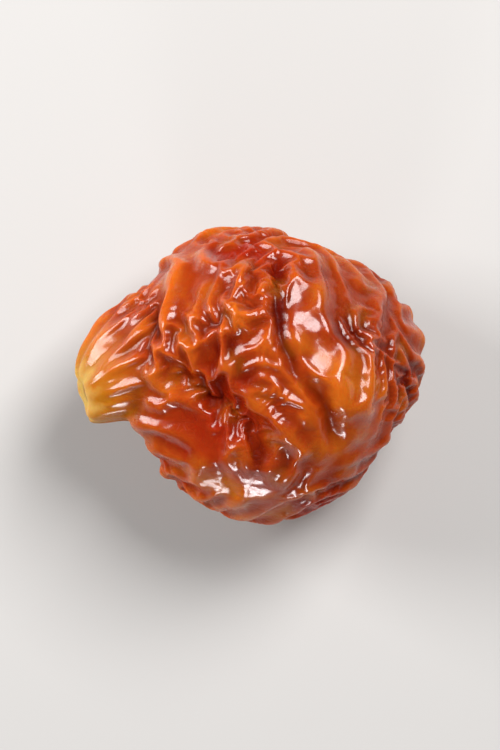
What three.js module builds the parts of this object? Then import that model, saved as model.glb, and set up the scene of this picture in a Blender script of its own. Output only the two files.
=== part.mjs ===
// A dried physalis berry (golden berry), husk off, lying on its side on a small flat spot.
// Flesh, skin and stem scar grew as one piece, so the berry is one solid: a shrunken, dented body, a short
// pleated stem nub with a dished scar at -X, and a skin that was too large for the flesh and buckled into
// folds. Millimetres, +Z up. The origin is under the middle of the berry's box, on the surface it lies on.

import * as THREE from 'three';
import { mergeVertices } from 'three/addons/utils/BufferGeometryUtils.js';

// Driving dimensions, in mm: the outside of the finished berry.
const LENGTH = 16.8; // X, from the stem scar to the blossom end
const WIDTH = 14.2; // Y
const THICKNESS = 12.0; // Z, less than the width because the berry sagged as it dried

// The flesh under the skin, in mm.
const FLESH_RADII = new THREE.Vector3(7.0, 6.9, 6.1);
const REST_TRIM = 0.75; // how much of the underside is pressed flat

// The stem nub, in mm.
const NUB_HEIGHT = 1.5; // how far it stands out of the flesh
const SCAR_RADIUS = 1.5; // of its dished end
const SCAR_DEPTH = 0.3;
const RIM_ROUNDING = 0.35; // of the scar's rim
const NUB_FLARE = 1.7; // from the scar's rim to the foot of the nub, in the middle of its two sides
const NUB_SKEW = 0.75; // how much less that is at -Y, where the nub stands clear, and more at +Y
const NUB_REACH = 60; // degrees from the stem, beyond which the flesh is as if there were no nub
const PLEATS = 7; // round the nub
const PLEAT_HEIGHT = 0.12;
const PLEAT_RUN = 1.6; // how far the pleats run on past the foot of the nub
const PLEAT_SHIFT = 1.2; // radians by which they are crowded together and spread, twice round the nub

// The drying of the skin. A factor of 1 is a skin that fits the flesh.
const SKIN_ACROSS = 1.14; // skin to flesh, across the folds
const SKIN_ALONG = 1.05; // skin to flesh, along the folds
const NUB_ROOM = 0.1; // share of that growth that the nub has
const NUB_CALM = { from: 1.6, to: 3.2 }; // mm from the scar's middle, over which the growth sets in
const PATCHES = 0.7; // how unevenly the flesh shrank
const PATCH_WAVES = { pitch: [0.9, 0.8, 0.8], start: [1, 2, 0.6] }; // per axis: radians per mm, radians
const SKIN_STIFFNESS = 0.15; // against stretching
const BENDING = 0.035; // sets the width of a fold, against FLESH_GRIP
const FLESH_GRIP = 0.01; // how firmly the flesh holds the skin
const FLESH_FIRMNESS = 6; // times the grip, where the skin is pushed in and not pulled out
const DRYING_STEPS = 1500;
const MOMENTUM = 0.9;

const SKIN_DETAIL = 23; // splits of each edge of the icosahedron that the skin is made from
const SAME_POINT = 1e-5; // corners closer than this, on a ball of radius 1, are one point
const NEIGHBOURS = 6; // of nearly every point
const STEM_CROWDING = { share: 0.4, angle: 0.5 }; // draws the skin's points together round the stem
const SEED = 7;

// A direction from the berry's middle: turn is counted from +X towards +Y, and rise above the XY plane.
function towards(turn, rise = 0) {
  const [t, r] = [turn, rise].map(THREE.MathUtils.degToRad);
  return new THREE.Vector3(Math.cos(t) * Math.cos(r), Math.sin(t) * Math.cos(r), Math.sin(r));
}

const STEM = towards(184, 9);
const NUB_LEAN = towards(207, 5); // the way the nub stands, drawn aside as the berry shrank
const STEM_SIDE = new THREE.Vector3(0, 0, 1).cross(STEM).normalize();
const STEM_UP = STEM.clone().cross(STEM_SIDE);

// The folds run out from the stem, and over this distance from the scar, in mm, they turn away from it, to
// run down from another side of the berry.
const FOLD_TURN = { from: 3.5, to: 8 };
const FOLD_POLE = towards(85, 12);
const WANDER = 0.7; // how far they stray from that
const WANDER_WAVES = { pitch: [0.7, 0.7, 0.6], start: [2, 0, -2] }; // per axis, as in PATCH_WAVES

// Where the flesh shrank less (swell above 0) or more (below 0), in mm, and over how many degrees.
const LOBES = [
  { at: towards(12), swell: 0.5, spread: 22 },
  { at: towards(125), swell: 0.6, spread: 26 },
  { at: towards(70, 3), swell: -0.8, spread: 16 },
  { at: towards(327), swell: -0.6, spread: 17 },
  { at: towards(262), swell: 0.35, spread: 20 },
  { at: STEM, swell: 0.9, spread: 30 },
  { at: towards(208), swell: -1.6, spread: 13 },
  { at: towards(163, 2), swell: 0.5, spread: 15 },
  { at: towards(140, 0), swell: -0.3, spread: 12 },
  { at: towards(214, 62), swell: -1.0, spread: 19 },
  { at: towards(95, 58), swell: 0.3, spread: 25 },
  { at: towards(350, 52), swell: 0.3, spread: 22 },
  { at: towards(30, -48), swell: -0.6, spread: 20 },
  { at: towards(205, -42), swell: -0.5, spread: 20 },
  { at: towards(110, -40), swell: 0.4, spread: 22 },
  { at: towards(290, -45), swell: 0.3, spread: 22 },
];

// The main folds of the flesh on the upper face, seen from above: a height, below 0 for a crease, a width
// and the points that it runs through, all in mm from the middle of the body.
const MAIN_FOLDS = [
  { height: -0.3, width: 0.45, through: [[0.4, 4.8], [0.65, 2.2], [1.3, 0.65], [2.6, -1.4], [3.0, -3.0]] },
  { height: 0.4, width: 1.1, through: [[1.6, 4.9], [2.0, 2.2], [2.8, 0.5], [3.7, -1.4]] },
  { height: 0.15, width: 0.6, through: [[5.1, 3.4], [4.8, 1.2], [4.4, -1.6]] },
  { height: 0.2, width: 0.9, through: [[-1.3, 3.6], [-0.4, 1.7], [0.26, -0.4], [1.3, -2.2]] },
  { height: -0.4, width: 0.7, through: [[-4.3, -0.3], [-2.7, -1.2], [-1.0, -2.6], [-0.4, -3.6]] },
  { height: 0.2, width: 0.45, through: [[-2.1, 0.1], [-0.8, -1.3], [0.5, -2.5], [1.4, -3.6]] },
  { height: 0.15, width: 0.45, through: [[-5.0, 1.0], [-3.4, 1.3], [-2.1, 1.9]] },
  { height: 0.15, width: 0.5, through: [[-3.5, 2.6], [-2.1, 3.1], [-1.2, 2.4]] },
  { height: 0.2, width: 0.5, through: [[-4.2, 5.0], [-4.6, 3.7], [-4.8, 2.3]] },
  { height: 0.2, width: 0.5, through: [[-3.1, 5.3], [-1.4, 4.5]] },
];
const FOLD_FADE = { from: 0.4, to: 0.1 }; // they fade out between these heights on a ball of radius 1
const LINE_STEPS = 40; // points along each of their lines
const ROUGHNESS = 0.05; // of the skin before it buckles, in mm

// Where the skin lies smoother, by what share, and over how many degrees.
const SMOOTH_PATCHES = [
  { at: towards(315, 42), share: 0.6, spread: 24 },
  { at: towards(30, 65), share: 0.85, spread: 17 },
  { at: towards(260, 38), share: 0.6, spread: 14 },
];

const { smoothstep } = THREE.MathUtils;

// A bell that is 1 at 0 and has fallen to about a third at 1.
const bell = (x) => Math.exp(-x * x);

const foldLines = MAIN_FOLDS.map(({ height, width, through }) => ({
  height,
  width,
  line: new THREE.SplineCurve(through.map(([x, y]) => new THREE.Vector2(x, y))).getPoints(LINE_STEPS),
}));

// How far the main folds lift a point of the flesh: in full on the upper face, and not at all on the sides.
function foldHeight(point, direction) {
  const lifts = foldLines.map(({ height, width, line }) => {
    const away = Math.min(...line.map((p) => Math.hypot(p.x - point.x, p.y - point.y)));
    return height * bell(away / width);
  });
  return smoothstep(direction.z, FOLD_FADE.to, FOLD_FADE.from) * lifts.reduce((sum, lift) => sum + lift);
}

// The point of the shrunken flesh that lies in a direction from the middle.
function fleshPoint(direction) {
  const point = direction.clone().multiply(FLESH_RADII);
  for (const { at, swell, spread } of LOBES) {
    const away = direction.angleTo(at) / THREE.MathUtils.degToRad(spread);
    point.addScaledVector(direction, swell * bell(away));
  }
  point.addScaledVector(direction, foldHeight(point, direction));
  return point.addScaledVector(NUB_LEAN, nubHeight(direction));
}

// How far the stem nub lifts that point: a dished scar, a side with pleats, and a flared foot.
function nubHeight(direction) {
  const angle = direction.angleTo(STEM);
  if (angle > THREE.MathUtils.degToRad(NUB_REACH)) return 0;
  const radius = FLESH_RADII.x * Math.sin(angle);
  const turn = Math.atan2(direction.dot(STEM_UP), direction.dot(STEM_SIDE));
  const foot = SCAR_RADIUS + NUB_FLARE * (1 - NUB_SKEW * Math.cos(turn));
  const side = 1 - smoothstep(radius, SCAR_RADIUS - RIM_ROUNDING, foot);
  const dish = SCAR_DEPTH * (1 - smoothstep(radius, 0, SCAR_RADIUS - RIM_ROUNDING));
  const pleat = PLEAT_HEIGHT * Math.cos(PLEATS * turn + PLEAT_SHIFT * Math.sin(2 * turn));
  const start = smoothstep(radius, SCAR_RADIUS - 3 * RIM_ROUNDING, SCAR_RADIUS + RIM_ROUNDING);
  const end = 1 - smoothstep(radius, foot, foot + PLEAT_RUN);
  return NUB_HEIGHT * side - dish + pleat * start * end;
}

// Draws the sphere's points together round the stem, where the nub needs more of them.
function crowdTowardsStem(direction) {
  const angle = direction.angleTo(STEM);
  const drawn = angle * (1 - STEM_CROWDING.share * bell(angle / STEM_CROWDING.angle));
  const side = direction.clone().addScaledVector(STEM, -direction.dot(STEM)).normalize();
  return side.multiplyScalar(Math.sin(drawn)).addScaledVector(STEM, Math.cos(drawn));
}

// The skin as it fits the flesh, as a closed net of triangles that share their corners.
function fittedSkin() {
  const ball = new THREE.IcosahedronGeometry(1, SKIN_DETAIL);
  ball.deleteAttribute('normal');
  ball.deleteAttribute('uv');
  const skin = mergeVertices(ball, SAME_POINT);
  const points = skin.getAttribute('position');
  for (let i = 0; i < points.count; i++) {
    const direction = new THREE.Vector3().fromBufferAttribute(points, i).normalize();
    const point = fleshPoint(crowdTowardsStem(direction));
    points.setXYZ(i, point.x, point.y, point.z);
  }
  skin.computeVertexNormals();
  return skin;
}

// Each edge of the triangles once, as a pair of vertex numbers.
function edgesOf(geometry) {
  const corner = geometry.index.array;
  const pairs = new Map();
  for (let i = 0; i < corner.length; i++) {
    const next = i % 3 === 2 ? i - 2 : i + 1;
    const pair = [corner[i], corner[next]].sort((a, b) => a - b);
    pairs.set(pair.join(), pair);
  }
  return [...pairs.values()];
}

// A repeatable draw between -0.5 and 0.5, by a linear congruential generator.
function drawsFrom(seed) {
  let state = seed;
  return () => {
    state = (Math.imul(state, 1664525) + 1013904223) >>> 0;
    return state / 2 ** 32 - 0.5;
  };
}

const scarMiddle = fleshPoint(STEM);

// Three slow waves through the berry, one along each axis.
function wavesAt(point, { pitch, start }) {
  return point.toArray().map((place, axis) => Math.sin(pitch[axis] * place + start[axis]));
}

// The way the folds run at a point of the skin.
function foldDirection(point, fromScar) {
  const turned = smoothstep(fromScar, FOLD_TURN.from, FOLD_TURN.to);
  const [alongX, alongY, alongZ] = wavesAt(point, WANDER_WAVES);
  const run = new THREE.Vector3(alongY, alongZ, alongX).multiplyScalar(WANDER);
  run.addScaledVector(STEM, 1 - turned).addScaledVector(FOLD_POLE, turned);
  return run.projectOnPlane(point.clone().normalize()).normalize();
}

// The skin's own length along an edge: roomier across the folds than along them, and almost fitting at the
// nub.
function restLength(fitted, a, b) {
  const from = new THREE.Vector3().fromArray(fitted, 3 * a);
  const edge = new THREE.Vector3().fromArray(fitted, 3 * b).sub(from);
  const length = edge.length();
  const fromScar = from.distanceTo(scarMiddle);
  const along = (edge.dot(foldDirection(from, fromScar)) / length) ** 2;
  const room = along * (SKIN_ALONG - 1) + (1 - along) * (SKIN_ACROSS - 1);
  const wave = wavesAt(from, PATCH_WAVES).reduce((product, value) => product * value);
  let calm = NUB_ROOM + (1 - NUB_ROOM) * smoothstep(fromScar, NUB_CALM.from, NUB_CALM.to);
  for (const { at, share, spread } of SMOOTH_PATCHES) {
    calm *= 1 - share * bell(from.angleTo(at) / THREE.MathUtils.degToRad(spread));
  }
  return length * (1 + room * (1 + PATCHES * wave) * calm);
}

// Dries the berry: the skin, too large for the flesh that it is stuck to, buckles until it is at rest.
// It is a net of springs that resists bending, and the flesh holds each point of it by a spring of its own.
function buckle(skin) {
  const fitted = Float64Array.from(skin.getAttribute('position').array);
  const normal = Float64Array.from(skin.getAttribute('normal').array);
  const size = fitted.length;
  const edges = edgesOf(skin);
  const links = new Float64Array(size / 3);
  for (const [a, b] of edges) {
    links[a]++;
    links[b]++;
  }
  const springs = edges.map(([a, b]) => restLength(fitted, a, b));

  const place = Float64Array.from(fitted);
  const draw = drawsFrom(SEED);
  for (let i = 0; i < size; i += 3) {
    const lift = ROUGHNESS * draw();
    for (let k = 0; k < 3; k++) place[i + k] += lift * normal[i + k];
  }

  const speed = new Float64Array(size);
  const force = new Float64Array(size);
  const bend = new Float64Array(size);
  for (let step = 0; step < DRYING_STEPS; step++) {
    force.fill(0);
    bend.fill(0);
    edges.forEach(([a, b], e) => {
      const [i, j] = [3 * a, 3 * b];
      const [x, y, z] = [place[j] - place[i], place[j + 1] - place[i + 1], place[j + 2] - place[i + 2]];
      const pull = SKIN_STIFFNESS * (1 - springs[e] / Math.hypot(x, y, z));
      for (let k = 0; k < 3; k++) {
        const gap = place[j + k] - place[i + k];
        const shift = gap - fitted[j + k] + fitted[i + k];
        force[i + k] += pull * gap;
        force[j + k] -= pull * gap;
        bend[i + k] += shift / links[a];
        bend[j + k] -= shift / links[b];
      }
    });
    for (const [a, b] of edges) {
      for (let k = 0; k < 3; k++) {
        const straighten = (BENDING / NEIGHBOURS) * (bend[3 * b + k] - bend[3 * a + k]);
        force[3 * a + k] -= straighten;
        force[3 * b + k] += straighten;
      }
    }
    for (let i = 0; i < size; i += 3) {
      let lift = 0;
      for (let k = 0; k < 3; k++) lift += (place[i + k] - fitted[i + k]) * normal[i + k];
      const firmer = lift < 0 ? FLESH_GRIP * (FLESH_FIRMNESS - 1) * lift : 0;
      for (let k = 0; k < 3; k++) {
        force[i + k] -= FLESH_GRIP * (place[i + k] - fitted[i + k]) + firmer * normal[i + k];
        speed[i + k] = MOMENTUM * speed[i + k] + force[i + k];
        place[i + k] += speed[i + k];
      }
    }
  }
  skin.getAttribute('position').array.set(place);
}

// Presses the underside flat, brings the berry to its driving dimensions and sets it on the surface.
function setDown(skin) {
  skin.computeBoundingBox();
  const floor = skin.boundingBox.min.z + REST_TRIM;
  const points = skin.getAttribute('position');
  for (let i = 0; i < points.count; i++) points.setZ(i, Math.max(points.getZ(i), floor));
  skin.computeBoundingBox();
  const middle = skin.boundingBox.getCenter(new THREE.Vector3()).setZ(floor);
  const size = skin.boundingBox.getSize(new THREE.Vector3());
  skin.translate(-middle.x, -middle.y, -middle.z);
  skin.scale(LENGTH / size.x, WIDTH / size.y, THICKNESS / size.z);
}

const skin = fittedSkin();
buckle(skin);
setDown(skin);
skin.computeVertexNormals();

const amber = new THREE.MeshStandardMaterial({ color: 0xb4480f, roughness: 0.35, metalness: 0 });
const berry = new THREE.Mesh(skin, amber);
berry.name = 'berry';

const physalis = new THREE.Group();
physalis.name = 'dried_physalis_berry';
physalis.add(berry);

export default physalis;
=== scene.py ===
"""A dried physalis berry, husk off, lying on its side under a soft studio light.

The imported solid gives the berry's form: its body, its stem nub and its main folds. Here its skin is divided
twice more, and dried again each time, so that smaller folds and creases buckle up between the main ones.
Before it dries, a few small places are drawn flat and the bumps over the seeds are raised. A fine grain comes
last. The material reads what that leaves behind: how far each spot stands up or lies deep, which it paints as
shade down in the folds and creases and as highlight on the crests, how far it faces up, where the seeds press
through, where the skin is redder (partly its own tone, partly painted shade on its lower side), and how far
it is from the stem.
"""
import math

import bpy
import numpy as np
from bpy.props import FloatProperty, FloatVectorProperty, IntProperty, PointerProperty
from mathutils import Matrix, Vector


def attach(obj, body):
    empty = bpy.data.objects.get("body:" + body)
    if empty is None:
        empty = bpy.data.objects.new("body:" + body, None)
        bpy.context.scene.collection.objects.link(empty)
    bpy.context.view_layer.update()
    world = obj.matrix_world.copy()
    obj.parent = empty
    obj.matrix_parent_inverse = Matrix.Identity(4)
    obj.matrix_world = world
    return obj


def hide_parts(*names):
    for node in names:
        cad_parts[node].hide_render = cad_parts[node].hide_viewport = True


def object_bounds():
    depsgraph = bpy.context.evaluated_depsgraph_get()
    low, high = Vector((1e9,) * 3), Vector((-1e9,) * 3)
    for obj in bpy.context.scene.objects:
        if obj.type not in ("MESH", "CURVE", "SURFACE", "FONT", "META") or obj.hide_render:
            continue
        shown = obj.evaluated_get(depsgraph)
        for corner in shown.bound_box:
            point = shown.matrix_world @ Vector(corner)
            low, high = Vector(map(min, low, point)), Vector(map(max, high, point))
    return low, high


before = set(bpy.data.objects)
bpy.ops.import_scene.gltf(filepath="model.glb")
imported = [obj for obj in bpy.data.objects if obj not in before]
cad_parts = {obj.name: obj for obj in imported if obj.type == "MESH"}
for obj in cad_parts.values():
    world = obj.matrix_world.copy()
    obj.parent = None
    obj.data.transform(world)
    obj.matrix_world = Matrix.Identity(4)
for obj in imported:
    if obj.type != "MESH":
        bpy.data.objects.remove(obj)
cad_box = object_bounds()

bl_info = {
    "name": "Dried physalis berry",
    "version": (1, 0, 0),
    "blender": (4, 5, 0),
    "location": "3D View > Sidebar > Physalis",
    "description": "Builds the wrinkled skin of a dried physalis berry over its packed solid, and a stage",
    "category": "Mesh",
}

NODE = "berry"
MM = 0.001  # metres in a millimetre; the skin is dried in millimetres
TINY = 1e-9  # added to a length that something is divided by, as it may be nothing

# The stem nub.
NUB_POINTS = Vector((-0.93, -0.33, 0.14)).normalized()  # the way that it points
NUB_END = 0.6  # how far back from its tip its end reaches, in millimetres
SCAR_RIBS = 10  # round the scar in its end

# How the skin dries, with lengths in millimetres.
STIFFNESS = 0.15  # of the skin, against stretching
BENDING = 0.03  # its stiffness against bending, which sets the width of the folds with the flesh's grip
FIRMNESS = 3  # of the flesh, times its grip, where the skin is pushed in and not pulled out
MOMENTUM = 0.9  # the share of its speed that the skin keeps from step to step
ROOM_ALONG = 0.3  # the skin's room along its folds, as a share of that across them
FOLDING = {"grip": 0.005, "steps": 500, "roughness": 0.01}  # of the skin divided once
CREASING = {"grip": 0.008, "steps": 250, "roughness": 0.004}  # of the skin divided twice
FOLD_PITCH = 0.9  # how fast the way that the folds run changes over the skin, in radians a millimetre
CREASE_PITCH = 1.7  # the same of the creases
SWIRL = 1.3  # how much they curl, in radians
STRAY_REACH = (2.0, 9.0)  # from the scar's middle, over which they stray more and more
LEAST_STRAY = 0.2  # how much they do at the scar
STRAY_GROWTH = 0.8  # and how much more at the far end
FOLD_ROUNDS = 24  # of smoothing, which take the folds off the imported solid
CREASE_ROUNDS = 30  # of smoothing, which take the creases off the finished skin
GRAIN_HEIGHT = 0.006  # of the skin's finest unevenness
GRAIN_ROUNDS = 6  # of smoothing, which set how fine it is

# Where the skin is calmer than elsewhere, with lengths in millimetres.
CALM_SHARE = 0.85  # of its room that a smooth place takes away
NUB_ROOM = 0.15  # the share that the stem nub's end keeps
NUB_REACH = (1.2, 3.4)  # from the scar's middle, over which the room grows to its full share
REST_HEIGHT = 1.2  # above the floor, over which it does so too
SEEDLESS_STEM = 3.5  # no seed presses against the skin nearer than this to the scar's middle
SEEDLESS_FLOOR = 1  # or nearer than this to the floor
SEED_TRIES = 3000  # places tried for seeds, drawn at random
SEED_EDGE = 2.5  # the power that sets how steeply the bump over a seed ends

# Places on the skin: the middle and the reach of each, in millimetres.
SMOOTH_PLACES = (
    ((2.7, 2.6, 11.0), 1.6), ((3.3, 0.6, 11.0), 1.6), ((3.6, -3.4, 9.6), 2.6),
    ((-1.7, -5.1, 8.7), 1.4), ((0.5, -5.3, 9.0), 1.4), ((5.6, -4.6, 6.0), 2.8),
)
# Where the skin is redder and darker: partly the skin's own redder tone, partly painted shade on its lower
# side.
RED_AND_SHADE_PLACES = (
    ((-1.4, -1.8, 10.0), 2.5), ((-2.6, -3.6, 8.5), 1.8), ((-0.2, 5.9, 9.0), 1.8), ((2.5, -6.0, 6.0), 2.5),
)
# Small facets of the skin: the middle of each, the way that it faces and its reach.
FACET_EDGE = 4  # the power that sets how suddenly a facet ends
LOW_SIDE = (-0.1, -0.63, 0.77)
BROAD_RIDGE = (0.2, 0.27, 0.94)
FLAT_PLACES = (
    ((-1.7, -5.0, 8.8), LOW_SIDE, 1.1),
    ((0.5, -5.2, 9.1), LOW_SIDE, 1.1),
    ((2.1, 3.6, 11.2), BROAD_RIDGE, 1.0),
    ((2.6, 2.1, 11.4), BROAD_RIDGE, 1.1),
    ((3.1, 0.7, 11.3), BROAD_RIDGE, 1.2),
)

# The stage, in metres, and the picture's width and height in pixels.
FLOOR_REACH = 0.6
LIGHTS = {
    "key": {"place": (0.085, 0.11, 0.185), "size": (0.1, 0.125), "colour": (1, 0.98, 0.98)},
    "fill": {"place": (-0.03, -0.19, 0.045), "size": (0.045, 0.04), "colour": (0.95, 0.97, 1)},
    "rim": {"place": (-0.16, 0.06, 0.09), "size": (0.08, 0.11), "colour": (1, 1, 1)},
}
SENSOR_WIDTH = 0.036  # of the camera
CLIP_START = 0.01  # the camera sees nothing nearer than this
PICTURE = (500, 750)

# The numbers of a Mix node's sockets for colours, which share their names with its others.
MIX_FACTOR, MIX_FIRST, MIX_SECOND = 0, 6, 7
MIX_RESULT = 2


def colour_property(name, description, default):
    return FloatVectorProperty(
        name=name, description=description, default=default, subtype="COLOR", size=3, min=0, max=1
    )


class SkinSettings(bpy.types.PropertyGroup):
    """The berry's wrinkles, seeds and colours."""

    fold_room: FloatProperty(
        name="Fold room",
        description="How much too large the skin is for the flesh, which folds a millimetre apart take up",
        default=0.14, min=0, max=0.3, subtype="FACTOR",
    )
    crease_room: FloatProperty(
        name="Crease room",
        description="How much too large it is after that, which creases half a millimetre apart take up",
        default=0.12, min=0, max=0.3, subtype="FACTOR",
    )
    unevenness: FloatProperty(
        name="Unevenness",
        description="How much smoother than the rest some patches of the skin are",
        default=0.6, min=0, max=1, subtype="FACTOR",
    )
    seed_spacing: FloatProperty(
        name="Seed spacing",
        description="Least distance between two seeds that press against the skin",
        default=2.0 * MM, min=1 * MM, max=6 * MM, unit="LENGTH", precision=4,
    )
    seed_radius: FloatProperty(
        name="Seed radius",
        description="Radius of the bump over a seed",
        default=0.75 * MM, min=0.3 * MM, max=1.5 * MM, unit="LENGTH", precision=5,
    )
    seed_height: FloatProperty(
        name="Seed height",
        description="How far a seed lifts the skin",
        default=0.12 * MM, min=0, max=0.5 * MM, unit="LENGTH", precision=5,
    )
    scatter: IntProperty(
        name="Scatter", description="Another number gives another skin", default=5, min=0
    )
    # Crest, Flesh and Deep follow how high the skin stands: Deep down in the folds and creases is painted
    # shade, Crest on the crests painted highlight; Deep also darkens random specks.
    crest: colour_property("Crest", "Thin skin on the crests", (0.5, 0.1, 0.006))
    flesh: colour_property("Flesh", "Skin between the folds", (0.32, 0.035, 0.003))
    deep: colour_property("Deep", "Skin down in the folds", (0.11, 0.004, 0.0006))
    # Redder, darker skin in a few places: partly its own tone, partly painted shade on the lower side.
    red_and_shade: colour_property("Ripe", "Redder skin, in a few places", (0.27, 0.009, 0.001))
    honey: colour_property("Honey", "Lighter patches, and skin over the seeds", (0.53, 0.175, 0.009))
    stem: colour_property("Stem", "Skin round the stem nub", (0.4, 0.148, 0.004))
    scar: colour_property("Scar", "Dry rim and ribs of the stem scar", (0.55, 0.34, 0.09))


class StageSettings(bpy.types.PropertyGroup):
    """The floor, the lights and the camera."""

    floor: colour_property("Floor", "The plain floor", (0.5, 0.49, 0.475))
    key_power: FloatProperty(
        name="Key light", description="Power of the main light", default=0.7, min=0, unit="POWER"
    )
    fill_power: FloatProperty(
        name="Fill light", description="Power of the light opposite it", default=0.15, min=0, unit="POWER"
    )
    rim_power: FloatProperty(
        name="Rim light", description="Power of the light beyond the nub", default=0.42, min=0, unit="POWER"
    )
    sky: FloatProperty(
        name="Sky", description="Strength of the even light from all round", default=0.07, min=0
    )
    lens: FloatProperty(
        name="Lens", description="Focal length of the camera", default=0.2, min=0.02, unit="CAMERA"
    )
    share: FloatProperty(
        name="Share of the frame",
        description="Share of the picture's width that the berry fills",
        default=0.7, min=0.1, max=1, subtype="FACTOR",
    )


# --- The skin as a net of triangles ---


def net_of(node):
    """A node's corners in millimetres, each once, and its triangles as corner numbers."""
    mesh = node.data
    corners = np.empty(3 * len(mesh.vertices), np.float32)
    mesh.vertices.foreach_get("co", corners)
    mesh.calc_loop_triangles()
    triangles = np.empty(3 * len(mesh.loop_triangles), np.int32)
    mesh.loop_triangles.foreach_get("vertices", triangles)
    micrometres = np.round(corners.reshape(-1, 3) / (MM * MM)).astype(np.int64)
    points, same = np.unique(micrometres, axis=0, return_inverse=True)
    return points * MM, same.reshape(-1)[triangles].reshape(-1, 3)


def edges_of(triangles):
    """Each edge once, and for each side of the triangles the number of its edge."""
    sides = np.concatenate([triangles[:, [0, 1]], triangles[:, [1, 2]], triangles[:, [2, 0]]])
    edges, numbers = np.unique(np.sort(sides, axis=1), axis=0, return_inverse=True)
    return edges, numbers.reshape(3, -1)


def gathered(count, index, values):
    """Adds up rows of values by their index, into count rows."""
    return np.stack([np.bincount(index, column, count) for column in values.T], axis=1)


def outward(points, triangles):
    """The unit normal at each point."""
    a, b, c = (points[triangles[:, k]] for k in range(3))
    faces = np.cross(b - a, c - a)
    total = sum(gathered(len(points), triangles[:, k], faces) for k in range(3))
    return total / np.linalg.norm(total, axis=1)[:, None]


def divided(points, triangles):
    """Loop's subdivision: every triangle becomes four, and the net is smoothed a little.

    points may have more columns than the three places, and those are smoothed in the same way.
    """
    count = len(points)
    edges, sides = edges_of(triangles)
    across = np.zeros((len(edges), points.shape[1]))
    for side, corner in enumerate((2, 0, 1)):
        np.add.at(across, sides[side], points[triangles[:, corner]])
    middles = 3 / 8 * (points[edges[:, 0]] + points[edges[:, 1]]) + across / 8

    near = np.concatenate([edges[:, 0], edges[:, 1]])
    far = np.concatenate([edges[:, 1], edges[:, 0]])
    links = np.bincount(near, minlength=count)
    pull = (5 / 8 - (3 / 8 + np.cos(2 * np.pi / links) / 4) ** 2) / links
    kept = points * (1 - links * pull)[:, None] + gathered(count, near, points[far]) * pull[:, None]

    a, b, c = triangles.T
    ab, bc, ca = sides + count
    quarters = [np.stack(q, axis=1) for q in ((a, ab, ca), (b, bc, ab), (c, ca, bc), (ab, bc, ca))]
    return np.concatenate([kept, middles]), np.concatenate(quarters)


class Neighbours:
    """The points linked to each point of a net, padded with the point itself."""

    def __init__(self, count, triangles):
        edges, _ = edges_of(triangles)
        near = np.concatenate([edges[:, 0], edges[:, 1]])
        far = np.concatenate([edges[:, 1], edges[:, 0]])
        order = np.lexsort((far, near))
        near, far = near[order], far[order]
        self.links = np.bincount(near, minlength=count)
        place = np.arange(len(near)) - (np.cumsum(self.links) - self.links)[near]
        self.table = np.repeat(np.arange(count)[:, None], self.links.max(), axis=1)
        self.table[near, place] = far
        self.real = np.zeros(self.table.shape, np.float32)
        self.real[near, place] = 1

    def sag(self, values):
        """How far the mean of a point's neighbours lies from the point."""
        total = np.einsum("ij,ijk->ik", self.real, values[self.table])
        return total / self.links[:, None].astype(np.float32) - values

    def smoothed(self, values, rounds):
        """The values after each has moved halfway to the mean of its neighbours, so many times."""
        for _ in range(rounds):
            values = values + 0.5 * self.sag(values)
        return values


def dried(points, triangles, room, run, draws, grip, steps, roughness):
    """The skin after it has shrunk less than the flesh that it is stuck to, and has buckled.

    room is, for each point, how much too large the skin is there, and run is the way that its folds run.
    grip is how firmly the flesh holds it, and roughness is how uneven it is before it buckles.
    """
    near = Neighbours(len(points), triangles)
    fitted = points.astype(np.float32)
    normal = outward(points, triangles).astype(np.float32)
    gap = fitted[near.table] - fitted[:, None]
    reach = np.linalg.norm(gap, axis=2)
    along = (np.einsum("ijk,ik->ij", gap, run) / (reach + TINY)) ** 2
    share = 1 - (1 - ROOM_ALONG) * along
    own_length = (reach * (1 + share * (room[near.table] + room[:, None]) / 2)).astype(np.float32)
    place = fitted + normal * (roughness * draws.standard_normal(len(points)))[:, None].astype(np.float32)
    speed = np.zeros_like(place)
    for _ in range(steps):
        # Its links push or pull, it resists bending, and the flesh holds it, more firmly against going in.
        gap = place[near.table] - place[:, None]
        length = np.sqrt(np.einsum("ijk,ijk->ij", gap, gap)) + TINY
        force = np.einsum("ij,ijk->ik", STIFFNESS * near.real * (1 - own_length / length), gap)
        moved = place - fitted
        force -= BENDING * near.sag(near.sag(moved))
        lift = np.einsum("ik,ik->i", moved, normal)[:, None]
        force -= grip * (moved + np.minimum(lift, 0) * (FIRMNESS - 1) * normal)
        speed = MOMENTUM * speed + force
        place += speed
    return place.astype(float)


def smoothstep(values, low, high):
    """From 0 at low to 1 at high, with no kink at either."""
    t = np.clip((values - low) / (high - low), 0, 1)
    return t * t * (3 - 2 * t)


def apart(points, place):
    """How far each point lies from a place."""
    return np.linalg.norm(points - place, axis=1)


def scar_middle(points):
    """The middle of the stem nub's end, which holds the scar."""
    along = points @ np.array(NUB_POINTS)
    return points[along > along.max() - NUB_END].mean(axis=0)


def seeds_under(points, spacing, spare, draws):
    """Numbers of points that seeds press against, drawn at random and at least spacing apart."""
    chosen = []
    for candidate in draws.permutation(np.flatnonzero(spare))[:SEED_TRIES]:
        if not chosen or apart(points[chosen], points[candidate]).min() > spacing:
            chosen.append(candidate)
    return chosen


def patchiness(points):
    """From 0 to 1: where the skin dried more wrinkled, and where smoother, in waves 6 to 9 mm long."""
    x, y, z = points.T
    wave = np.sin(0.8 * x + 1.1) * np.sin(0.9 * y + 0.4) + np.sin(0.7 * z + 2.2) * np.sin(0.75 * (x + y))
    return smoothstep(wave, -1.0, 1.0)


def nearness(points, places):
    """From 0 to 1: how near each point is to the nearest of some places."""
    away = [apart(points, middle) / reach for middle, reach in places]
    return np.exp(-np.min(away, axis=0) ** 2)


def with_facets(points):
    """The skin drawn onto a small plane in a few places, where the flesh under it shrank flat."""
    for middle, facing, reach in FLAT_PLACES:
        facing = np.array(facing) / np.linalg.norm(facing)
        share = np.exp(-(apart(points, middle) / reach) ** FACET_EDGE)
        height = (points - middle) @ facing
        height -= np.average(height, weights=share)
        points = points - (share * height)[:, None] * facing
    return points


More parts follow.
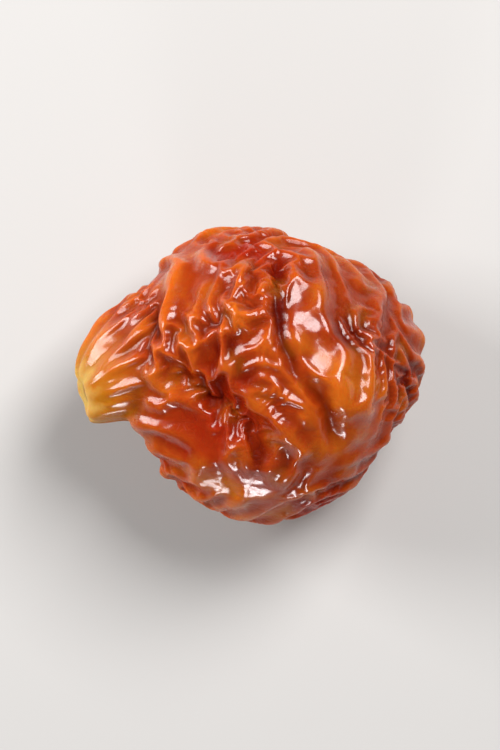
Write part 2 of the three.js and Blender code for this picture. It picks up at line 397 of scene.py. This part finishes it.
def fold_runs(points, triangles, stem, pitch):
    """The way that the folds run at each point: out from the stem, and straying more with the distance."""
    x, y, z = points.T * pitch
    stray = np.sin([y + SWIRL * np.sin(z), z + SWIRL * np.sin(x) + 2, x + SWIRL * np.sin(y) + 4]).T
    away = smoothstep(apart(points, stem), *STRAY_REACH)[:, None]
    run = np.array(NUB_POINTS) * (1 - STRAY_GROWTH * away) + stray * (LEAST_STRAY + STRAY_GROWTH * away)
    normal = outward(points, triangles)
    run -= np.einsum("ik,ik->i", run, normal)[:, None] * normal
    return run / (np.linalg.norm(run, axis=1)[:, None] + TINY)


def share_of_room(points, stem, unevenness):
    """The skin has less room in its smooth patches and places, on the stem nub and where it lies down."""
    patch = 1 - unevenness * patchiness(points)
    calm = 1 - CALM_SHARE * nearness(points, SMOOTH_PLACES)
    nub = NUB_ROOM + (1 - NUB_ROOM) * smoothstep(apart(points, stem), *NUB_REACH)
    return patch * calm * nub * smoothstep(points[:, 2], 0, REST_HEIGHT)


def seed_bumps(points, stem, settings, draws):
    """From 0 to 1: how far a seed lifts the skin at each point."""
    spare = (apart(points, stem) > SEEDLESS_STEM) & (points[:, 2] > SEEDLESS_FLOOR)
    bump = np.zeros(len(points))
    for seed in seeds_under(points, settings.seed_spacing / MM, spare, draws):
        away = apart(points, points[seed]) / (settings.seed_radius / MM)
        bump = np.maximum(bump, np.exp(-away**SEED_EDGE))
    return bump


def turn_round(offsets):
    """The angle round the nub's axis, from -1 to 1, of points given from the scar's middle."""
    side = NUB_POINTS.cross(Vector((0, 0, 1))).normalized()
    up = side.cross(NUB_POINTS)
    return np.arctan2(offsets @ np.array(up), offsets @ np.array(side)) / math.pi


class DriedSkin:
    """The finished skin: its net, and what the material reads from it."""

    def __init__(self, node, settings):
        draws = np.random.default_rng(settings.scatter)
        points, triangles = net_of(node)
        body = Neighbours(len(points), triangles).smoothed(points, FOLD_ROUNDS)
        fold = np.einsum("ik,ik->i", points - body, outward(points, triangles))
        upward = outward(body, triangles)[:, 2]

        # Divided once, it gets its facets and the bumps over the seeds, and then buckles into folds.
        both, triangles = divided(np.column_stack([points, fold, upward]), triangles)
        points, fold, upward = with_facets(both[:, :3]), both[:, 3], both[:, 4]
        stem = scar_middle(points)
        bump = seed_bumps(points, stem, settings, draws)
        points = points + outward(points, triangles) * (bump * settings.seed_height / MM)[:, None]
        room = settings.fold_room * share_of_room(points, stem, settings.unevenness)
        run = fold_runs(points, triangles, stem, FOLD_PITCH)
        points = dried(points, triangles, room, run, draws, **FOLDING)

        # Divided twice, it buckles into creases, and gets its grain.
        both, triangles = divided(np.column_stack([points, fold, upward, bump]), triangles)
        points, fold, upward, bump = both[:, :3], both[:, 3], both[:, 4], both[:, 5]
        room = settings.crease_room * share_of_room(points, stem, settings.unevenness)
        run = fold_runs(points, triangles, stem, CREASE_PITCH)
        points = dried(points, triangles, room, run, draws, **CREASING)
        near = Neighbours(len(points), triangles)
        grain = near.smoothed(draws.standard_normal((len(points), 1)), GRAIN_ROUNDS)
        points += outward(points, triangles) * grain * (GRAIN_HEIGHT / grain.std())
        points[:, 2] = np.maximum(points[:, 2], 0)

        uncreased = near.smoothed(points, CREASE_ROUNDS)
        self.points, self.triangles = points, triangles
        self.marks = {
            "fold": fold,
            "crease": np.einsum("ik,ik->i", points - uncreased, outward(points, triangles)),
            "upward": upward,
            "seed": bump,
            # Redder, darker places: partly the skin's own tone, partly painted shade on its lower side.
            "red_and_shade": nearness(points, RED_AND_SHADE_PLACES),
            "from_stem": apart(points, stem),
            "round_stem": turn_round(points - stem),
        }

    def mesh(self, name):
        mesh = bpy.data.meshes.new(name)
        mesh.vertices.add(len(self.points))
        mesh.vertices.foreach_set("co", (self.points * MM).astype(np.float32).ravel())
        mesh.loops.add(self.triangles.size)
        mesh.loops.foreach_set("vertex_index", self.triangles.astype(np.int32).ravel())
        mesh.polygons.add(len(self.triangles))
        mesh.polygons.foreach_set("loop_start", np.arange(0, self.triangles.size, 3, dtype=np.int32))
        mesh.polygons.foreach_set("use_smooth", np.ones(len(self.triangles), bool))
        for mark, values in self.marks.items():
            attribute = mesh.attributes.new(mark, "FLOAT", "POINT")
            attribute.data.foreach_set("value", values.astype(np.float32))
        mesh.update(calc_edges=True)
        if mesh.validate():
            raise RuntimeError(f"the mesh {name} had to be mended")
        return mesh


# --- Shader groups and the material ---


class Sheet:
    """Adds nodes to a node tree: node() makes one, with values or links for its inputs by name."""

    def __init__(self, tree):
        self.tree = tree

    def node(self, kind, settings=None, **inputs):
        made = self.tree.nodes.new(kind)
        for key, value in (settings or {}).items():
            setattr(made, key, value)
        for key, value in inputs.items():
            self.feed(made.inputs[key.replace("_", " ")], value)
        return made

    def feed(self, socket, value):
        if isinstance(value, bpy.types.NodeSocket):
            self.tree.links.new(value, socket)
        else:
            socket.default_value = value

    def math(self, operation, *values):
        made = self.node("ShaderNodeMath", {"operation": operation})
        for socket, value in zip(made.inputs, values):
            self.feed(socket, value)
        return made.outputs[0]

    def ranged(self, value, low, high, to_low=0.0, to_high=1.0):
        """From to_low, where the value is low, to to_high, where it is high."""
        made = self.node("ShaderNodeMapRange", {"interpolation_type": "SMOOTHSTEP"}, Value=value)
        ends = {"From Min": low, "From Max": high, "To Min": to_low, "To Max": to_high}
        for key, number in ends.items():
            made.inputs[key].default_value = number
        return made.outputs["Result"]

    def mixed(self, factor, first, second):
        made = self.node("ShaderNodeMix", {"data_type": "RGBA"})
        self.feed(made.inputs[MIX_FACTOR], factor)
        self.feed(made.inputs[MIX_FIRST], first)
        self.feed(made.inputs[MIX_SECOND], second)
        return made.outputs[MIX_RESULT]

    def noise(self, vector, scale, detail=2.0, roughness=0.5, distortion=0.0):
        """A cloudy pattern from 0 to 1. At a scale of 1000 its spots are about a millimetre across."""
        made = self.node(
            "ShaderNodeTexNoise", Vector=vector, Scale=scale, Detail=detail, Roughness=roughness,
            Distortion=distortion,
        )
        return made.outputs["Fac"]

    def mark(self, name):
        return self.node("ShaderNodeAttribute", {"attribute_name": name}).outputs["Fac"]


def group(name, inputs, outputs):
    """A new shader node group. inputs and outputs give its sockets' names and the end of their types."""
    tree = bpy.data.node_groups.new(name, "ShaderNodeTree")
    for direction, sockets in (("INPUT", inputs), ("OUTPUT", outputs)):
        for key, kind in sockets.items():
            tree.interface.new_socket(key, in_out=direction, socket_type="NodeSocket" + kind)
    sheet = Sheet(tree)
    given = tree.nodes.new("NodeGroupInput").outputs
    wanted = tree.nodes.new("NodeGroupOutput").inputs
    return sheet, given, wanted


def skin_colour_and_painted_shade():
    """Amber skin with painted shade and highlight: red-brown down in the folds and creases as painted shade,
    orange between them, brighter on the crests as painted highlight, and paler over the seeds.
    """
    inputs = {
        "Place": "Vector", "Fold": "Float", "Crease": "Float", "Seed": "Float", "Ripe": "Float",
        "Crest": "Color", "Flesh": "Color", "Deep": "Color", "Red": "Color", "Honey": "Color",
    }
    sheet, given, wanted = group("Dried skin colour", inputs, {"Color": "Color"})
    cloud = sheet.noise(given["Place"], 230, 3, 0.5, 0.6)
    speck = sheet.noise(given["Place"], 2600, 2, 0.6)
    # How high each spot stands from its folds and creases, plus a random cloudy tone: low spots go to Deep as
    # painted shade, high ones to Crest as painted highlight.
    height = sheet.math("MULTIPLY_ADD", given["Fold"], 1.1, sheet.math("MULTIPLY", given["Crease"], 3.5))
    height = sheet.math("ADD", height, sheet.math("MULTIPLY_ADD", cloud, 2.6, -1.3))
    colour = sheet.mixed(sheet.ranged(height, -0.7, 0.15), given["Deep"], given["Flesh"])
    colour = sheet.mixed(sheet.ranged(height, 0.0, 0.85), colour, given["Crest"])
    # Redder, darker skin in a few places: partly its own tone, partly painted shade on the lower side.
    colour = sheet.mixed(sheet.math("MULTIPLY", given["Ripe"], 0.9), colour, given["Red"])
    over_seed = sheet.math("MULTIPLY", sheet.ranged(given["Seed"], 0.2, 1.0), 0.2)
    pale = sheet.math("MAXIMUM", over_seed, sheet.ranged(cloud, 0.56, 0.8, 0, 0.6))
    colour = sheet.mixed(pale, colour, given["Honey"])
    sheet.feed(wanted["Color"], sheet.mixed(sheet.ranged(speck, 0.3, 0.75, 0.12, 0), colour, given["Deep"]))
    return sheet.tree


def stem_end_colour():
    """Lets the skin pale towards the stem nub, and gives the scar its dry rim, ribs and dark middle."""
    inputs = {
        "Place": "Vector", "Skin": "Color", "From Stem": "Float", "Round Stem": "Float",
        "Honey": "Color", "Stem": "Color", "Scar": "Color",
    }
    sheet, given, wanted = group("Stem end colour", inputs, {"Color": "Color", "Dryness": "Float"})
    cloud = sheet.noise(given["Place"], 900, 3, 0.6)
    away = sheet.math("MULTIPLY_ADD", cloud, 1.6, sheet.math("SUBTRACT", given["From Stem"], 0.8))
    colour = sheet.mixed(sheet.ranged(away, 2.1, 4.4, 0.45, 0), given["Skin"], given["Honey"])
    colour = sheet.mixed(sheet.ranged(away, 1.2, 3.0, 0.92, 0), colour, given["Stem"])
    rib = sheet.math("COSINE", sheet.math("MULTIPLY", given["Round Stem"], SCAR_RIBS * math.pi))
    dry = sheet.ranged(sheet.math("MULTIPLY_ADD", rib, 0.15, away), 1.0, 1.9, 1, 0)
    colour = sheet.mixed(sheet.math("MULTIPLY", dry, 0.8), colour, given["Scar"])
    pit = sheet.ranged(given["From Stem"], 0.25, 0.6, 0.75, 0)
    brown = (0.1, 0.04, 0.012, 1)
    sheet.feed(wanted["Color"], sheet.mixed(pit, colour, brown))
    sheet.feed(wanted["Dryness"], dry)
    return sheet.tree


def sticky_gloss():
    """Syrup dried on the skin makes it glossy, but duller in the folds, on the scar and down the sides."""
    inputs = {
        "Place": "Vector", "Fold": "Float", "Crease": "Float", "Upward": "Float", "Dryness": "Float",
    }
    outputs = {"Roughness": "Float", "Coat": "Float"}
    sheet, given, wanted = group("Sticky gloss", inputs, outputs)
    smear = sheet.noise(given["Place"], 500, 4, 0.6, 1.2)
    grain = sheet.noise(given["Place"], 5000, 2, 0.5)
    rough = sheet.ranged(smear, 0.3, 0.7, 0.2, 0.36)
    rough = sheet.math("ADD", rough, sheet.ranged(given["Fold"], -0.5, 0.1, 0.1, 0))
    rough = sheet.math("ADD", rough, sheet.ranged(grain, 0.4, 0.7, 0, 0.06))
    rough = sheet.math("ADD", rough, sheet.math("MULTIPLY", given["Dryness"], 0.25))
    sheet.feed(wanted["Roughness"], rough)
    raised = sheet.math("MULTIPLY_ADD", given["Crease"], 4.0, given["Fold"])
    wet = sheet.ranged(smear, 0.35, 0.65, 1, 0.55)
    wet = sheet.math("MULTIPLY", wet, sheet.ranged(raised, -0.45, 0.05))
    wet = sheet.math("MULTIPLY", wet, sheet.ranged(given["Upward"], 0, 0.65, 0.3, 1))
    sheet.feed(wanted["Coat"], sheet.math("MULTIPLY", wet, sheet.math("SUBTRACT", 1.0, given["Dryness"])))
    return sheet.tree


def skin_grain():
    """The finest relief: crinkles in patches, a shallow leathery grain and, on the scar, fibres."""
    inputs = {"Place": "Vector", "Dryness": "Float"}
    sheet, given, wanted = group("Skin grain", inputs, {"Height": "Float"})
    ripple = sheet.noise(given["Place"], 1500, 3, 0.6, 0.8)
    grain = sheet.noise(given["Place"], 6000, 2, 0.5)
    height = sheet.math("MULTIPLY_ADD", ripple, 0.4, sheet.math("MULTIPLY", grain, 0.2))
    wander = sheet.noise(given["Place"], 1300, 2, 0.5, 1.5)
    off_crinkle = sheet.math("ABSOLUTE", sheet.math("SUBTRACT", wander, 0.5))
    crinkled = sheet.ranged(sheet.noise(given["Place"], 350, 2), 0.42, 0.58, 0.25, 1)
    crinkles = sheet.math("MULTIPLY", sheet.ranged(off_crinkle, 0, 0.07), crinkled)
    height = sheet.math("MULTIPLY_ADD", crinkles, 0.5, height)
    fibres = sheet.noise(given["Place"], 3500, 4, 0.7, 2.0)
    height = sheet.math("MULTIPLY_ADD", sheet.math("MULTIPLY", fibres, given["Dryness"]), 0.8, height)
    sheet.feed(wanted["Height"], height)
    return sheet.tree


def placed(sheet, tree, **inputs):
    """Puts a shader group into a material, and gives its outputs."""
    made = sheet.node("ShaderNodeGroup", {"node_tree": tree}, **inputs)
    return made.outputs


def skin_material(settings):
    material = bpy.data.materials.new("Dried berry skin")
    material.use_nodes = True
    material.node_tree.nodes.clear()
    sheet = Sheet(material.node_tree)
    place = sheet.node("ShaderNodeTexCoord").outputs["Object"]
    fold, crease, upward, seed, red_and_shade, from_stem, round_stem = (
        sheet.mark(name) for name in ("fold", "crease", "upward", "seed", "red_and_shade", "from_stem", "round_stem")
    )
    tones = {name.title(): (*getattr(settings, name), 1) for name in ("crest", "flesh", "deep", "honey")}
    skin = placed(
        sheet, skin_colour_and_painted_shade(), Place=place, Fold=fold, Crease=crease, Seed=seed, Ripe=red_and_shade,
        Red=(*settings.red_and_shade, 1), **tones
    )["Color"]
    end = placed(
        sheet, stem_end_colour(), Place=place, Skin=skin, From_Stem=from_stem, Round_Stem=round_stem,
        Honey=(*settings.honey, 1), Stem=(*settings.stem, 1), Scar=(*settings.scar, 1),
    )
    gloss = placed(
        sheet, sticky_gloss(), Place=place, Fold=fold, Crease=crease, Upward=upward, Dryness=end["Dryness"]
    )
    grain = placed(sheet, skin_grain(), Place=place, Dryness=end["Dryness"])["Height"]
    bump = sheet.node("ShaderNodeBump", Height=grain, Strength=0.6, Distance=0.05 * MM)
    shader = sheet.node(
        "ShaderNodeBsdfPrincipled", Base_Color=end["Color"], Roughness=gloss["Roughness"],
        Coat_Weight=gloss["Coat"], Normal=bump.outputs["Normal"],
    )
    shader.inputs["IOR"].default_value = 1.46
    shader.inputs["Specular IOR Level"].default_value = 0.05
    shader.inputs["Coat Roughness"].default_value = 0.15
    shader.inputs["Coat IOR"].default_value = 1.45
    shader.inputs["Subsurface Weight"].default_value = 0.6
    shader.inputs["Subsurface Radius"].default_value = (1.0, 0.3, 0.08)
    shader.inputs["Subsurface Scale"].default_value = 0.8 * MM
    output = sheet.node("ShaderNodeOutputMaterial", Surface=shader.outputs["BSDF"])
    output.is_active_output = True
    return material


# --- Operators ---


class PHYSALIS_OT_skin(bpy.types.Operator):
    """Build the berry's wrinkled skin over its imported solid"""

    bl_idname = "physalis.skin"
    bl_label = "Berry skin"

    def execute(self, context):
        settings = context.scene.physalis_skin
        skin = DriedSkin(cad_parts[NODE], settings)
        piece = bpy.data.objects.new("wrinkled_berry", skin.mesh("wrinkled_berry"))
        context.scene.collection.objects.link(piece)
        piece.data.materials.append(skin_material(settings))
        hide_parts(NODE)
        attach(piece, "root")
        return {"FINISHED"}


def plain_material(name, colour, roughness):
    material = bpy.data.materials.new(name)
    material.use_nodes = True
    shader = material.node_tree.nodes["Principled BSDF"]
    shader.inputs["Base Color"].default_value = (*colour, 1)
    shader.inputs["Roughness"].default_value = roughness
    return material


def add_floor(scene, colour):
    low, high = -FLOOR_REACH, FLOOR_REACH
    mesh = bpy.data.meshes.new("floor")
    mesh.from_pydata([(low, low, 0), (high, low, 0), (high, high, 0), (low, high, 0)], [], [(0, 1, 2, 3)])
    floor = bpy.data.objects.new("floor", mesh)
    mesh.materials.append(plain_material("Pale floor", colour, roughness=0.6))
    scene.collection.objects.link(floor)


def add_soft_light(scene, name, power, aim, place, size, colour):
    lamp = bpy.data.lights.new(name, "AREA")
    lamp.shape = "RECTANGLE"
    lamp.size, lamp.size_y = size
    lamp.energy = power
    lamp.color = colour
    light = bpy.data.objects.new(name, lamp)
    light.location = place
    light.rotation_euler = (aim - Vector(place)).to_track_quat("-Z", "Y").to_euler()
    scene.collection.objects.link(light)


def add_even_light(scene, strength):
    world = bpy.data.worlds.new("sky")
    world.use_nodes = True
    background = world.node_tree.nodes["Background"]
    background.inputs["Color"].default_value = (1, 1, 1, 1)
    background.inputs["Strength"].default_value = strength
    scene.world = world


def add_camera(scene, middle, length, stage):
    """Looks straight down at the upper face, with +Y up in the picture."""
    width, height = PICTURE
    seen = length / stage.share * height / width
    camera = bpy.data.cameras.new("camera")
    camera.sensor_width = SENSOR_WIDTH / MM
    camera.lens = stage.lens / MM
    camera.clip_start = CLIP_START
    view = bpy.data.objects.new("camera", camera)
    view.location = middle + Vector((0, 0, seen * stage.lens / SENSOR_WIDTH))
    scene.collection.objects.link(view)
    scene.camera = view


class PHYSALIS_OT_stage(bpy.types.Operator):
    """Add the floor, the soft lights and the camera"""

    bl_idname = "physalis.stage"
    bl_label = "Stage"

    def execute(self, context):
        scene = context.scene
        stage = scene.physalis_stage
        low, high = (Vector(corner) for corner in cad_box)
        middle = (low + high) / 2
        add_floor(scene, stage.floor)
        powers = {"key": stage.key_power, "fill": stage.fill_power, "rim": stage.rim_power}
        for name, power in powers.items():
            add_soft_light(scene, name, power, aim=middle, **LIGHTS[name])
        add_even_light(scene, stage.sky)
        scene.view_settings.view_transform = "Standard"
        add_camera(scene, middle, high.x - low.x, stage)
        return {"FINISHED"}


class PHYSALIS_PT_panel(bpy.types.Panel):
    """Lists the steps that build the berry"""

    bl_label = "Physalis berry"
    bl_space_type = "VIEW_3D"
    bl_region_type = "UI"
    bl_category = "Physalis"

    def draw(self, context):
        layout = self.layout
        for step in ("skin", "stage"):
            box = layout.box()
            box.operator("physalis." + step)
            settings = getattr(context.scene, "physalis_" + step)
            for name in settings.__annotations__:
                box.prop(settings, name)


CLASSES = (SkinSettings, StageSettings, PHYSALIS_OT_skin, PHYSALIS_OT_stage, PHYSALIS_PT_panel)


def register():
    for cls in CLASSES:
        bpy.utils.register_class(cls)
    bpy.types.Scene.physalis_skin = PointerProperty(type=SkinSettings)
    bpy.types.Scene.physalis_stage = PointerProperty(type=StageSettings)


def unregister():
    del bpy.types.Scene.physalis_stage
    del bpy.types.Scene.physalis_skin
    for cls in reversed(CLASSES):
        bpy.utils.unregister_class(cls)


def main():
    register()
    bpy.ops.physalis.skin()
    bpy.ops.physalis.stage()


if __name__ == "__main__":
    main()
